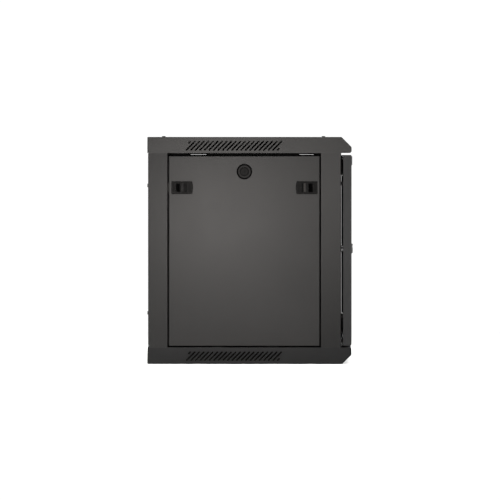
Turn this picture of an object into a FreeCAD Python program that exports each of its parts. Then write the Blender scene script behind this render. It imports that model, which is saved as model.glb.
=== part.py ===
import FreeCAD, Part
import os
import re
import Sketcher
from FreeCAD import Placement, Rotation, Vector

# Wall-mount 19-inch rack cabinet, 9 height units, 600 wide, 450 deep, 500 high.
# Frame: +Z up, the door faces -Y, +X is to the right of a person who faces the door.
# Origin: middle of the underside.

doc = FreeCAD.newDocument("wall_rack_cabinet")
dims = doc.addObject("Spreadsheet::Sheet", "dims")

SIZES = [
    # overall
    ("width", 600.0), ("depth", 450.0), ("height", 500.0),
    ("sheet_t", 1.2), ("panel_t", 1.0), ("beam_t", 1.5), ("rail_t", 2.0),
    ("bend_out", 2.0), ("bend_in", 0.8),
    # trays: lower edge of the top tray, upper edge of the bottom tray, nose chamfers
    ("open_top", 464.7), ("open_low", 36.3),
    ("nose_top", 22.3), ("nose_low", 20.6), ("nose_round", 5.0),
    ("rebate_deep", 18.0), ("stop_drop", 15.0),
    ("lip_back", 41.0), ("lip_cut", 3.0),
    # slanted vents
    ("vent_first", 129.5), ("vent_pitch", 10.03), ("vent_count", 20.0),
    ("vent_r", 1.9), ("vent_half", 9.35), ("vent_half_low", 8.8),
    ("vent_mid_top", 480.6), ("vent_mid_low", 17.1),
    # light windows in the top stop flange, over the panel edge
    ("win_a0", 95.0), ("win_a1", 141.5), ("win_b0", -142.4), ("win_b1", -109.5),
    ("win_low", 461.1), ("win_high", 461.6),
    # stiffening ribs inside both covers: distance from the middle, ends, and free edges
    ("rib_x", 200.0), ("rib_rear", 150.0), ("rib_front", -82.0), ("rib_top", 466.0), ("rib_low", 34.6),
    # posts
    ("open_rear", 180.4), ("open_front", -157.2),
    ("post_rear", 222.2), ("post_front", -201.9),
    ("rear_flange", 40.0), ("front_flange", 26.0), ("stop_w", 10.7),
    # rear panel
    ("rear_half", 298.0), ("rear_low", 37.0), ("rear_high", 464.0),
    ("rear_screw_x", 280.0), ("rear_screw_hi", 393.2), ("rear_screw_lo", 112.3),
    ("wall_dx", 400.0), ("wall_dz", 300.0), ("wall_mid", 250.0), ("wall_r", 5.0),
    # roof
    ("roof_screw_x", 287.0), ("roof_screw_r", 188.9), ("roof_screw_f", -163.1),
    ("spacer_r", 6.0),
    ("entry_half", 120.0), ("entry_y0", 110.0), ("entry_y1", 180.0),
    ("plate_lap", 12.0),
    ("fan_x", 105.0), ("fan_y", -25.0), ("fan_r", 57.0), ("fan_hole", 105.0),
    ("fan_hole_r", 2.25), ("fan_slot", 5.0), ("fan_pitch", 9.5), ("fan_count", 12.0),
    # side panel
    ("pan_face", 299.6), ("pan_deep", 12.0),
    ("pan_rear", 177.8), ("pan_front", -154.5), ("pan_low", 39.6), ("pan_top", 458.1),
    ("lug_half", 15.0), ("lug_off", 110.0), ("lug_low", 28.0),
    ("pad_off", 60.0), ("pad_half", 12.0),
    # panel lock
    ("plock_y", 11.2), ("plock_z", 423.6), ("plock_rim", 17.0), ("plock_barrel", 11.0),
    ("plock_bore", 9.85), ("plock_plug", 9.8), ("plock_end", 281.0),
    ("pcam_x0", 277.5), ("pcam_x1", 279.5), ("pcam_len", 34.0), ("pcam_half", 8.0),
    # slide latches
    ("latch_z", 388.2), ("latch_h", 27.7), ("latch_len", 47.2), ("latch_proud", 1.4),
    ("latch_rear", 171.7), ("latch_front", -149.5), ("latch_bow", 1.8),
    ("bolt_half", 9.95), ("tip_rear", 180.1), ("tip_front", -155.0),
    # how far the front slider sits drawn in, against the rear one
    ("drawn", 0.0),
    # door
    ("door_half", 299.0), ("door_back", -206.4), ("door_face", -224.9),
    ("door_low", 40.7), ("door_top", 460.3), ("door_return", 14.0), ("door_round", 2.5),
    ("win_half", 237.0), ("win_z0", 87.0), ("win_z1", 414.0), ("win_round", 8.0),
    ("glass_t", 4.0), ("gasket_t", 1.0), ("glass_lap", 12.0),
    ("dlock_x", -264.0), ("dlock_z", 254.0), ("dlock_head", 11.2), ("dlock_proud", 3.0),
    ("dlock_barrel", 8.5), ("dlock_bore", 6.05), ("dlock_plug", 6.0), ("dlock_end", -202.3),
    ("dcam_len", 24.0),
    ("badge_x0", -286.0), ("badge_x1", -226.0), ("badge_z0", 438.0), ("badge_z1", 457.6),
    ("badge_t", 1.65),
    ("bump_x", -292.0), ("bump_hi", 397.6), ("bump_lo", 103.4), ("bump_r", 4.1),
    # hinges
    ("hinge_x", 296.5), ("hinge_y", -205.6), ("knuckle_r", 3.4), ("pin_r", 1.75),
    ("pin_bore", 1.8), ("leaf_t", 2.0), ("leaf_x", 270.0),
    ("hinge_a0", 414.0), ("hinge_a1", 458.6), ("hinge_b0", 43.0), ("hinge_b1", 94.5), ("hinge_foot", 6.0),
    # rails and beams
    ("beam_x", 259.5), ("beam_rear", 181.5), ("beam_front", -157.5), ("beam_h", 30.0),
    ("beam_hi", 424.0), ("beam_lo", 47.0),
    ("rail_face", -135.0), ("rail_deep", 40.0), ("rail_edge", 225.3), ("rail_low", 47.0),
    ("rail_long", 407.0), ("rail_mid", 8.5), ("unit", 44.45), ("unit_count", 9.0),
    ("rail_hole_x", 232.55), ("rail_hole", 9.5), ("unit_low", 50.5),
    ("slot_half", 25.0), ("slot_r", 3.4), ("rbolt_front", -115.0),
    # earth stud
    ("earth_x", -200.0), ("earth_y", 195.0),
]
for row, (alias, value) in enumerate(SIZES, 1):
    dims.set("A%d" % row, alias.replace("_", " "))
    dims.set("B%d" % row, str(value))
    dims.setAlias("B%d" % row, alias)
doc.recompute()
NAMES = {a for a, _ in SIZES}


def ex(text):
    """A size written with the sheet's words, as an expression on the sheet."""
    return re.sub(
        r"[A-Za-z_]\w*",
        lambda m: "dims." + m.group(0) if m.group(0) in NAMES else m.group(0),
        str(text),
    )


def num(text):
    return float(dims.evalExpression(ex(text)))


NODES = {}
COUNT = [0]


def uid(stem):
    COUNT[0] += 1
    return "%s_%d" % (stem, COUNT[0])


def node(obj, label):
    obj.Label = label
    NODES[label] = obj
    return obj


def bind(obj, pairs):
    for name, text in pairs.items():
        obj.setExpression(name, ex(text))
    return obj


AXIS = {
    "x": Rotation(Vector(0, 1, 0), 90),
    "-x": Rotation(Vector(0, 1, 0), -90),
    "y": Rotation(Vector(1, 0, 0), -90),
    "-y": Rotation(Vector(1, 0, 0), 90),
    "z": Rotation(),
    "-z": Rotation(Vector(1, 0, 0), 180),
}


def place(obj, x, y, z, axis="z"):
    obj.Placement = Placement(Vector(0, 0, 0), AXIS[axis])
    return bind(obj, {"Placement.Base.x": x, "Placement.Base.y": y, "Placement.Base.z": z})


def box(x0, x1, y0, y1, z0, z1, name="block"):
    o = doc.addObject("Part::Box", uid(name))
    bind(o, {"Length": "(%s)-(%s)" % (x1, x0), "Width": "(%s)-(%s)" % (y1, y0),
             "Height": "(%s)-(%s)" % (z1, z0)})
    return place(o, x0, y0, z0)


def cyl(axis, x, y, z, r, long, name="round"):
    o = doc.addObject("Part::Cylinder", uid(name))
    bind(o, {"Radius": r, "Height": long})
    return place(o, x, y, z, axis)


def cone(axis, x, y, z, r0, r1, long, name="cone"):
    o = doc.addObject("Part::Cone", uid(name))
    bind(o, {"Radius1": r0, "Radius2": r1, "Height": long})
    return place(o, x, y, z, axis)


def hexagon(axis, x, y, z, r, long, name="hexagon"):
    o = doc.addObject("Part::Prism", uid(name))
    o.Polygon = 6
    bind(o, {"Circumradius": r, "Height": long})
    return place(o, x, y, z, axis)


def fuse(parts, name="joined"):
    o = doc.addObject("Part::MultiFuse", uid(name))
    o.Shapes = parts
    o.Refine = True
    return o


def group(parts, name="group"):
    o = doc.addObject("Part::Compound", uid(name))
    o.Links = parts
    return o


def cut(base, tools, name="cut"):
    o = doc.addObject("Part::Cut", uid(name))
    o.Base = base
    o.Tool = tools[0] if len(tools) == 1 else group(tools, "tools")
    o.Refine = True
    return o


def mirror(source, label, axis="x", base=None):
    o = doc.addObject("Part::Mirroring", uid("mirrored"))
    o.Source = source
    o.Normal = Vector(1, 0, 0) if axis == "x" else Vector(0, 1, 0)
    if base:
        o.setExpression("Base." + axis, ex(base))
    return node(o, label)


def body(name):
    return doc.addObject("PartDesign::Body", uid(name))


def origin_plane(b, role):
    return [o for o in b.Origin.OriginFeatures if o.Role == role][0]


def fix_point(sk, geo, pos, u, v):
    """Ties one point of a sketch to sheet sizes."""
    for kind, text, axis in (("DistanceX", u, -2), ("DistanceY", v, -1)):
        value = num(text)
        if abs(value) < 1e-9:
            sk.addConstraint(Sketcher.Constraint("PointOnObject", geo, pos, axis))
        else:
            k = sk.addConstraint(Sketcher.Constraint(kind, -1, 1, geo, pos, value))
            sk.setExpression("Constraints[%d]" % k, ex(text))


def sketch(b, role, loops, offset=None):
    """Closed outlines on an origin plane: corner lists, ("slot", a, b, r) or ("disc", c, r)."""
    sk = b.newObject("Sketcher::SketchObject", uid("outline"))
    sk.AttachmentSupport = [(origin_plane(b, role), "")]
    sk.MapMode = "FlatFace"
    if offset:
        sk.setExpression("AttachmentOffset.Base.z", ex(offset))
    for loop in loops:
        first = sk.GeometryCount
        if loop[0] == "disc":
            (u, v), r = loop[1], loop[2]
            sk.addGeometry(Part.Circle(Vector(num(u), num(v), 0), Vector(0, 0, 1), num(r)), False)
            fix_point(sk, first, 3, u, v)
            k = sk.addConstraint(Sketcher.Constraint("Radius", first, num(r)))
            sk.setExpression("Constraints[%d]" % k, ex(r))
        elif loop[0] == "slot":
            (ua, va), (ub, vb), r = loop[1], loop[2], loop[3]
            a, c, rad = Vector(num(ua), num(va), 0), Vector(num(ub), num(vb), 0), num(r)
            d = (c - a).normalize()
            n = Vector(-d.y, d.x, 0)
            w = FreeCAD.Vector(d).getAngle(Vector(1, 0, 0))
            ang = w if d.y >= 0 else -w
            hp = 1.5707963267948966
            arc_a = Part.ArcOfCircle(Part.Circle(a, Vector(0, 0, 1), rad), ang + hp, ang + 3 * hp)
            arc_b = Part.ArcOfCircle(Part.Circle(c, Vector(0, 0, 1), rad), ang - hp, ang + hp)
            sk.addGeometry(arc_a, False)
            sk.addGeometry(Part.LineSegment(a - n * rad, c - n * rad), False)
            sk.addGeometry(arc_b, False)
            sk.addGeometry(Part.LineSegment(c + n * rad, a + n * rad), False)
            sk.addConstraint(Sketcher.Constraint("Tangent", first, 2, first + 1, 1))
            sk.addConstraint(Sketcher.Constraint("Tangent", first + 1, 2, first + 2, 1))
            sk.addConstraint(Sketcher.Constraint("Tangent", first + 2, 2, first + 3, 1))
            sk.addConstraint(Sketcher.Constraint("Tangent", first + 3, 2, first, 1))
            sk.addConstraint(Sketcher.Constraint("Equal", first, first + 2))
            fix_point(sk, first, 3, ua, va)
            fix_point(sk, first + 2, 3, ub, vb)
            k = sk.addConstraint(Sketcher.Constraint("Radius", first, rad))
            sk.setExpression("Constraints[%d]" % k, ex(r))
        else:
            pts = [Vector(num(u), num(v), 0) for u, v in loop]
            n = len(pts)
            for i in range(n):
                sk.addGeometry(Part.LineSegment(pts[i], pts[(i + 1) % n]), False)
            for i in range(n):
                sk.addConstraint(Sketcher.Constraint(
                    "Coincident", first + i, 2, first + (i + 1) % n, 1))
            for i, (u, v) in enumerate(loop):
                fix_point(sk, first + i, 1, u, v)
    return sk


def pad(b, sk, long, both=False, back=False):
    f = b.newObject("PartDesign::Pad", uid("pad"))
    f.Profile = sk
    f.setExpression("Length", ex(long))
    f.Midplane = both
    f.Reversed = back
    doc.recompute()
    return f


def pocket(b, sk, long=None, both=False, back=False):
    before = b.Shape.Volume
    f = b.newObject("PartDesign::Pocket", uid("pocket"))
    f.Profile = sk
    if long is None:
        f.Type = 1
    else:
        f.setExpression("Length", ex(long))
    f.Midplane = both
    f.Reversed = back
    doc.recompute()
    if not b.Shape.Volume < before - 1e-3:
        raise RuntimeError("a pocket took nothing from " + b.Name)
    return f


def pattern(b, feature, sk, axis, long, count):
    before = b.Shape.Volume
    f = b.newObject("PartDesign::LinearPattern", uid("row"))
    f.Originals = [feature]
    f.Direction = (sk, [axis])
    f.setExpression("Length", ex(long))
    f.setExpression("Occurrences", ex(count))
    b.Tip = f
    doc.recompute()
    if abs(b.Shape.Volume - before) < 1e-3:
        raise RuntimeError("a row added nothing on " + b.Name)
    return f


def edges_where(shape, test):
    return ["Edge%d" % (i + 1) for i, e in enumerate(shape.Edges) if test(e)]


def near(a, c, tol=0.02):
    return abs(a - c) < tol


def along(e, axis):
    """True for a straight edge that runs along one axis."""
    if not isinstance(e.Curve, Part.Line):
        return False
    d = e.Curve.Direction
    return near(abs(getattr(d, axis)), 1.0, 1e-4)


def round_edges(b, names, r):
    f = b.newObject("PartDesign::Fillet", uid("bend"))
    f.Base = (b.Tip if b.Tip != f else f.BaseFeature, names)
    f.setExpression("Radius", ex(r))
    doc.recompute()
    return f


def bends(b, axis, outer, inner, r_out="bend_out", r_in="bend_in"):
    """Rounds the folds of a section that runs along one axis, given as corner points."""
    others = [c for c in "xyz" if c != axis]

    def at(points):
        want = [(num(u), num(v)) for u, v in points]
        return lambda e: along(e, axis) and any(
            near(getattr(e.Vertexes[0].Point, others[0]), u)
            and near(getattr(e.Vertexes[0].Point, others[1]), v) for u, v in want)

    for points, r in ((outer, r_out), (inner, r_in)):
        if points:
            names = edges_where(b.Shape, at(points))
            if len(names) < len(points):
                raise RuntimeError("a fold is missing on " + b.Name)
            round_edges(b, names, r)


def screw(axis, x, y, z, head_r, head_h, shank_r, shank_long, recess=True):
    """A pan-head screw: the point given is under the head, the head stands along the axis."""
    back = axis[1:] if axis[0] == "-" else "-" + axis
    head = cyl(axis, x, y, z, head_r, head_h, "head")
    soft = doc.addObject("Part::Fillet", uid("head_round"))
    soft.Base = head
    doc.recompute()
    top = edges_where(head.Shape, lambda e: isinstance(e.Curve, Part.Circle))
    d = AXIS[axis].multVec(Vector(0, 0, 1))
    high = max(top, key=lambda n: head.Shape.Edges[int(n[4:]) - 1].Curve.Center.dot(d))
    soft.Edges = [(int(high[4:]), num(head_h) * 0.55, num(head_h) * 0.55)]
    parts = [soft, cyl(back, x, y, z, shank_r, shank_long, "shank")]
    one = fuse(parts, "screw")
    if not recess:
        return one
    # cross recess in the head
    a, w, deep = 0.55 * num(head_r), 0.45, 0.5 * num(head_h)
    arms = []
    for p, q in ((a, w), (w, a)):
        o = doc.addObject("Part::Box", uid("arm"))
        o.Length, o.Width, o.Height = 2 * p, 2 * q, deep + 1
        rot = AXIS[axis]
        base = Vector(num(x), num(y), num(z)) + rot.multVec(Vector(-p, -q, num(head_h) - deep))
        o.Placement = Placement(base, rot)
        arms.append(o)
    return cut(one, [fuse(arms, "cross")], "screw")


# ---------------------------------------------------------------- top and bottom covers

def tray(name, top):
    """A folded tray: plate, rear wall, side walls, sloped nose and front lip."""
    edge, far = ("open_top", "height") if top else ("open_low", "0")
    leg = "nose_top" if top else "nose_low"
    s, up = ("-", "+") if top else ("+", "-")
    b = body(name)
    outer = [("depth/2", edge), ("depth/2", far), ("-depth/2+" + leg, far),
             ("-depth/2", far + s + leg), ("-depth/2", edge + up + "lip_cut"), ("-depth/2+lip_cut", edge)]
    pad(b, sketch(b, "YZ_Plane", [outer]), "width", both=True)
    bends(b, "x", [("-depth/2", far + s + leg)], [], "nose_round")
    bends(b, "x", [("-depth/2", edge + up + "lip_cut")], [], "lip_cut")
    bends(b, "x", [("depth/2", far), ("-depth/2+" + leg, far)], [])
    half, zed = num("width/2"), num(edge)
    rim = edges_where(b.Shape, lambda e: near(abs(e.CenterOfMass.x), half)
                      and not near(e.CenterOfMass.z, zed))
    round_edges(b, rim, "bend_out")
    # hollow, open on the side that faces the inside, but for the lip turned in under the nose
    k = "sheet_t*0.41421356"
    past = edge + ("-5" if top else "+5")
    inner = [("depth/2-sheet_t", past), ("depth/2-sheet_t", far + s + "sheet_t"),
             ("-depth/2+%s+%s" % (leg, k), far + s + "sheet_t"),
             ("-depth/2+sheet_t", far + s + "(%s+%s)" % (leg, k)),
             ("-depth/2+sheet_t", edge + up + "(lip_cut+%s)" % k), ("-depth/2+lip_cut+" + k, edge + up + "sheet_t"),
             ("-depth/2+lip_back", edge + up + "sheet_t"), ("-depth/2+lip_back", past)]
    pocket(b, sketch(b, "YZ_Plane", [inner]), "width-2*sheet_t", both=True)
    # side walls turned in, then turned towards the middle as a stop behind the panel edge
    xo, xr = "width/2-sheet_t/2", "width/2-rebate_deep"
    for sign in ("", "-"):
        turn = [("%s(%s)" % (sign, xo), edge), ("%s(%s)" % (sign, xo), edge + up + "sheet_t"),
                ("%s(%s)" % (sign, xr + "-sheet_t"), edge + up + "sheet_t"),
                ("%s(%s)" % (sign, xr + "-sheet_t"), edge)]
        pad(b, sketch(b, "XZ_Plane", [turn], "-post_rear+0.2"), "post_rear-post_front-0.4")
        down = "-" if top else "+"
        stop = [("%s(%s)" % (sign, xr), edge + up + "sheet_t"),
                ("%s(%s)" % (sign, xr), edge + down + "stop_drop"),
                ("%s(%s)" % (sign, xr + "-sheet_t"), edge + down + "stop_drop"),
                ("%s(%s)" % (sign, xr + "-sheet_t"), edge + up + "sheet_t")]
        pad(b, sketch(b, "XZ_Plane", [stop], "-open_rear+stop_w+0.3"),
            "open_rear-open_front-2*stop_w-0.6")
    # slanted slots through both side walls
    mid, h = ("vent_mid_top", "vent_half") if top else ("vent_mid_low", "vent_half_low")
    sk = sketch(b, "YZ_Plane", [("slot", ("vent_first+" + h, mid + "-" + h),
                                 ("vent_first-" + h, mid + "+" + h), "vent_r")])
    one = pocket(b, sk, "width+10", both=True)
    back = "vent_first-vent_pitch*(vent_count-1)"
    f = b.newObject("PartDesign::LinearPattern", uid("row"))
    f.Originals = [one]
    f.Direction = (sk, ["H_Axis"])
    f.Reversed = True
    f.setExpression("Length", ex("vent_pitch*(vent_count-1)"))
    f.setExpression("Occurrences", ex("vent_count"))
    b.Tip = f
    doc.recompute()
    r1, r2 = "vent_first+vent_pitch", back + "-vent_pitch"
    short = [("slot", (r1 + "-(%s-3.2)" % h, mid + "+(%s-3.2)" % h), (r1 + "-" + h, mid + "+" + h), "vent_r"),
             ("slot", (r2 + "+(%s-3.2)" % h, mid + "-(%s-3.2)" % h), (r2 + "+" + h, mid + "-" + h), "vent_r")]
    pocket(b, sketch(b, "YZ_Plane", short), "width+10", both=True)
    # a rib on the inside of the plate, on either side
    end = "rib_top" if top else "rib_low"
    for sign in ("", "-"):
        rib = [("%srib_x" % sign, far + s + "sheet_t/2"), ("%srib_x" % sign, end),
               ("%s(rib_x+sheet_t)" % sign, end), ("%s(rib_x+sheet_t)" % sign, far + s + "sheet_t/2")]
        pad(b, sketch(b, "XZ_Plane", [rib], "-rib_rear"), "rib_rear-rib_front")
    return b


top_b = tray("top_tray", True)
low_b = tray("low_tray", False)

# roof: cable entry, two fan grilles, screw holes, light windows in the stop flanges
tools = [box("-entry_half", "entry_half", "entry_y0", "entry_y1", "height-5", "height+5")]
for side in ("", "-"):
    b = body("grille")
    u0 = "%sfan_x-fan_pitch*(fan_count-1)/2" % side
    sk = sketch(b, "XY_Plane", [[(u0 + "-fan_slot/2", "fan_y-fan_r"), (u0 + "+fan_slot/2", "fan_y-fan_r"),
                                 (u0 + "+fan_slot/2", "fan_y+fan_r"), (u0 + "-fan_slot/2", "fan_y+fan_r")]],
                "height-5")
    b.AllowCompound = True
    p = pad(b, sk, "10")
    pattern(b, p, sk, "H_Axis", "fan_pitch*(fan_count-1)", "fan_count")
    ring = cut(cyl("z", side + "fan_x", "fan_y", "height-5", "fan_r", "10"),
               [cyl("z", side + "fan_x", "fan_y", "height-6", "15", "12"),
                box(side + "fan_x-fan_r", side + "fan_x+fan_r", "fan_y-4", "fan_y+4", "height-6", "height+6")][:1])
    slots = doc.addObject("Part::Common", uid("grille_slots"))
    slots.Base, slots.Tool = ring, b
    bars = cut(slots, [box(side + "fan_x-fan_r-1", side + "fan_x+fan_r+1", "fan_y-34.5", "fan_y-31.5", "height-7", "height+7"),
                       box(side + "fan_x-fan_r-1", side + "fan_x+fan_r+1", "fan_y+31.5", "fan_y+34.5", "height-7", "height+7"),
                       box(side + "fan_x-fan_r-1", side + "fan_x+fan_r+1", "fan_y-1.5", "fan_y+1.5", "height-7", "height+7")])
    tools.append(bars)
    for sx in ("-", "+"):
        for sy in ("-", "+"):
            tools.append(cyl("z", side + "fan_x%sfan_hole/2" % sx, "fan_y%sfan_hole/2" % sy,
                             "height-5", "fan_hole_r", "10"))
for sx in ("", "-"):
    for y in ("roof_screw_r", "roof_screw_f"):
        tools.append(cyl("z", sx + "roof_screw_x", y, "height-5", "2.5", "10"))
    xi, xo = sx + "(width/2-rebate_deep-sheet_t-1)", sx + "(width/2-rebate_deep+0.01)"
    lo, hi = (xi, xo) if sx == "" else (xo, xi)
    tools.append(box(lo, hi, "win_a0", "win_a1", "win_low", "win_high"))
    tools.append(box(lo, hi, "win_b0", "win_b1", "win_low", "win_high"))
    for sy in ("-", "+"):
        tools.append(cyl("z", sx + "(entry_half+plate_lap/2)", "(entry_y0+entry_y1)/2%s(entry_y1-entry_y0)/2" % sy,
                         "height-5", "2", "10"))
top_cover = node(cut(top_b, tools, "top_cover"), "top_cover")

# floor: cable entry, slots for the panel lugs, screw holes of the entry plate
tools = [box("-entry_half", "entry_half", "entry_y0", "entry_y1", "-5", "5")]
for sx in ("", "-"):
    xi, xo = sx + "(pan_face-pan_deep-3.4)", sx + "(pan_face-pan_deep+1.8)"
    lo, hi = (xi, xo) if sx == "" else (xo, xi)
    for sy in ("-", "+"):
        yc = "(plock_y%slug_off)" % sy
        tools.append(box(lo, hi, yc + "-lug_half-2", yc + "+lug_half+2", "open_low-3", "open_low+1"))
        tools.append(cyl("z", sx + "(entry_half+plate_lap/2)", "(entry_y0+entry_y1)/2%s(entry_y1-entry_y0)/2" % sy,
                         "-5", "2", "10"))
bottom_cover = node(cut(low_b, tools, "bottom_cover"), "bottom_cover")

# ---------------------------------------------------------------- corner posts

xs, xr = "-width/2", "-width/2+rebate_deep"


def post(rear):
    b = body("post")
    o, e = ("open_rear", "post_rear") if rear else ("open_front", "post_front")
    p, m = ("+", "-") if rear else ("-", "+")
    fl = "rear_flange" if rear else "front_flange"
    outline = [(xr, o + m + "stop_w"), (xr, o), (xs, o), (xs, e), (xs + "+" + fl, e),
               (xs + "+" + fl, e + m + "sheet_t"), (xs + "+sheet_t", e + m + "sheet_t"),
               (xs + "+sheet_t", o + p + "sheet_t"), (xr + "+sheet_t", o + p + "sheet_t"),
               (xr + "+sheet_t", o + m + "stop_w")]
    pad(b, sketch(b, "XY_Plane", [outline], "open_low"), "open_top-open_low")
    bends(b, "z", [(xs, o), (xs, e), (xr + "+sheet_t", o + p + "sheet_t")],
          [(xr, o), (xs + "+sheet_t", e + m + "sheet_t"), (xs + "+sheet_t", o + p + "sheet_t")])
    # hole for the latch bolt in the rebate wall
    y0, y1 = ("open_rear-1", "open_rear+3") if rear else ("open_front-3", "open_front+1")
    t = [box("-pan_face+1.3", "-pan_face+6.3", y0, y1, "latch_z-11", "latch_z+11")]
    if rear:
        for z in ("rear_screw_hi", "rear_screw_lo"):
            t.append(cyl("y", "-rear_screw_x", "post_rear-5", z, "2", "10"))
    # holes of the beam screws in the stop flange
    yy = "open_rear-5" if rear else "open_front+5"
    for z in ("beam_hi+beam_h/2", "beam_lo+beam_h/2"):
        t.append(cyl("x", xr + "-5", yy, z, "2", "10"))
    return cut(b, t, "post")


lfp = node(post(False), "left_front_post")
lrp = node(post(True), "left_rear_post")
rfp0 = mirror(lfp, "right_front_post_plain")
del NODES["right_front_post_plain"]
t = []
for z0, z1 in (("hinge_a0", "hinge_a1"), ("hinge_b0", "hinge_b1")):
    t.append(cyl("y", "leaf_x+6", "post_front-5", "%s+(%s-%s)*0.25" % (z0, z1, z0), "1.6", "10"))
right_front_post = node(cut(rfp0, t, "post"), "right_front_post")
mirror(lrp, "right_rear_post")

# ---------------------------------------------------------------- rear panel

plate = box("-rear_half", "rear_half", "post_rear", "post_rear+sheet_t", "rear_low", "rear_high", "rear_plate")
t = []
for sx in ("", "-"):
    for z in ("rear_screw_hi", "rear_screw_lo"):
        t.append(cyl("y", sx + "rear_screw_x", "post_rear-5", z, "2", "10"))
    for sz in ("-", "+"):
        t.append(cyl("y", sx + "wall_dx/2", "post_rear-5", "wall_mid%swall_dz/2" % sz, "wall_r", "10"))
node(cut(plate, t, "rear_panel"), "rear_panel")
node(group([screw("y", sx + "rear_screw_x", "post_rear+sheet_t", z, "4", "2", "2", "8")
            for sx in ("", "-") for z in ("rear_screw_hi", "rear_screw_lo")]), "rear_panel_screws")

# ---------------------------------------------------------------- roof screws and spacers

node(group([screw("z", sx + "roof_screw_x", y, "height", "4", "2", "2.5", "12")
            for sx in ("", "-") for y in ("roof_screw_r", "roof_screw_f")]), "top_cover_screws")
node(group([cut(cyl("z", sx + "roof_screw_x", y, "open_top+sheet_t", "spacer_r", "height-open_top-2*sheet_t"),
                [cyl("z", sx + "roof_screw_x", y, "height-16", "2.5", "20")])
            for sx in ("", "-") for y in ("roof_screw_r", "roof_screw_f")]), "top_cover_spacers")

# ---------------------------------------------------------------- cable entry plates


def entry_plate(z0, z1):
    t = []
    for sx in ("", "-"):
        for sy in ("-", "+"):
            t.append(cyl("z", sx + "(entry_half+plate_lap/2)",
                         "(entry_y0+entry_y1)/2%s(entry_y1-entry_y0)/2" % sy, z0 + "-5", "2", "12"))
    return cut(box("-entry_half-plate_lap", "entry_half+plate_lap", "entry_y0-plate_lap",
                   "entry_y1+plate_lap", z0, z1), t, "entry_plate")


node(entry_plate("height-2*sheet_t", "height-sheet_t"), "top_cable_plate")
node(entry_plate("sheet_t", "2*sheet_t"), "bottom_cable_plate")
group_parts = []
for sx in ("", "-"):
    for sy in ("-", "+"):
        at = (sx + "(entry_half+plate_lap/2)", "(entry_y0+entry_y1)/2%s(entry_y1-entry_y0)/2" % sy)
        group_parts.append(screw("-z", at[0], at[1], "height-2*sheet_t", "3.6", "2", "2", "2.3", False))
        group_parts.append(screw("z", at[0], at[1], "2*sheet_t", "3.6", "2", "2", "2.3", False))
node(group(group_parts), "cable_plate_screws")

# ---------------------------------------------------------------- depth beams and 19-inch rails


def beam(low):
    b = body("beam")
    bx, fx, q = "-beam_x", "-width/2+rebate_deep+sheet_t", "beam_t"
    r0, f0 = "open_rear-stop_w-1", "open_front+stop_w+1"
    outline = [(fx, "beam_rear"), (fx, r0), (bx + "-" + q, r0), (bx + "-" + q, f0), (fx, f0), (fx, "beam_front"),
               (fx + "+" + q, "beam_front"), (fx + "+" + q, f0 + "-" + q), (bx, f0 + "-" + q),
               (bx, r0 + "+" + q), (fx + "+" + q, r0 + "+" + q), (fx + "+" + q, "beam_rear")]
    pad(b, sketch(b, "XY_Plane", [outline], low), "beam_h")
    mid = low + "+beam_h/2"
    sk = sketch(b, "YZ_Plane", [
        ("slot", ("rbolt_front-slot_half", mid), ("rbolt_front+slot_half", mid), "slot_r"),
        ("slot", ("2*rail_mid-rbolt_front-slot_half", mid), ("2*rail_mid-rbolt_front+slot_half", mid), "slot_r"),
        ("slot", ("-35", mid), ("55", mid), "slot_r")])
    pocket(b, sk, "2*beam_x+50", both=True)
    t = [cyl("x", "-width/2+rebate_deep-5", y, mid, "2", "14") for y in ("open_rear-5", "open_front+5")]
    return cut(b, t, "beam")


ulb = node(beam("beam_hi"), "upper_left_beam")
llb = node(beam("beam_lo"), "lower_left_beam")
mirror(ulb, "upper_right_beam")
mirror(llb, "lower_right_beam")
node(group([screw(ax, sx + "(width/2-rebate_deep-sheet_t-beam_t)", y, z, "3.6", "2.4", "2", "2.6", False)
            for sx, ax in (("", "-x"), ("-", "x")) for y in ("open_rear-5", "open_front+5")
            for z in ("beam_hi+beam_h/2", "beam_lo+beam_h/2")]), "beam_screws")

b = body("rail")
bx = "-beam_x"
outline = [(bx, "rail_face"), ("-rail_edge", "rail_face"), ("-rail_edge", "rail_face+rail_t"),
           (bx + "+rail_t", "rail_face+rail_t"), (bx + "+rail_t", "rail_face+rail_deep"),
           (bx, "rail_face+rail_deep")]
pad(b, sketch(b, "XY_Plane", [outline], "rail_low"), "rail_long")
bends(b, "z", [(bx, "rail_face")], [(bx + "+rail_t", "rail_face+rail_t")], "rail_t+bend_in", "bend_in")
squares = []
for off in ("unit/2-15.875", "unit/2", "unit/2+15.875"):
    c = "unit_low+" + off
    squares.append([("-rail_hole_x-rail_hole/2", c + "-rail_hole/2"), ("-rail_hole_x+rail_hole/2", c + "-rail_hole/2"),
                    ("-rail_hole_x+rail_hole/2", c + "+rail_hole/2"), ("-rail_hole_x-rail_hole/2", c + "+rail_hole/2")])
sk = sketch(b, "XZ_Plane", squares)
one = pocket(b, sk, "depth", both=True)
pattern(b, one, sk, "V_Axis", "unit*(unit_count-1)", "unit_count")
t = [cyl("x", "-beam_x-5", "rbolt_front", z, "3", "12") for z in ("beam_hi+beam_h/2", "beam_lo+beam_h/2")]
flr = node(cut(b, t, "rail"), "front_left_rail")
rlr = mirror(flr, "rear_left_rail", "y", "rail_mid")
mirror(flr, "front_right_rail")
mirror(rlr, "rear_right_rail")
bolts, nuts = [], []
for sx, out, inn in (("", "x", "-x"), ("-", "-x", "x")):
    for y in ("rbolt_front", "2*rail_mid-rbolt_front"):
        for z in ("beam_hi+beam_h/2", "beam_lo+beam_h/2"):
            bolts.append(fuse([hexagon(out, sx + "(beam_x+beam_t)", y, z, "5.77", "4"),
                               cyl(inn, sx + "(beam_x+beam_t)", y, z, "3", "15")], "bolt"))
            nuts.append(cut(hexagon(inn, sx + "(beam_x-rail_t)", y, z, "5.77", "5"),
                            [cyl(inn, sx + "(beam_x+5)", y, z, "3", "20")], "nut"))
node(group(bolts), "rail_bolts")
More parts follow.
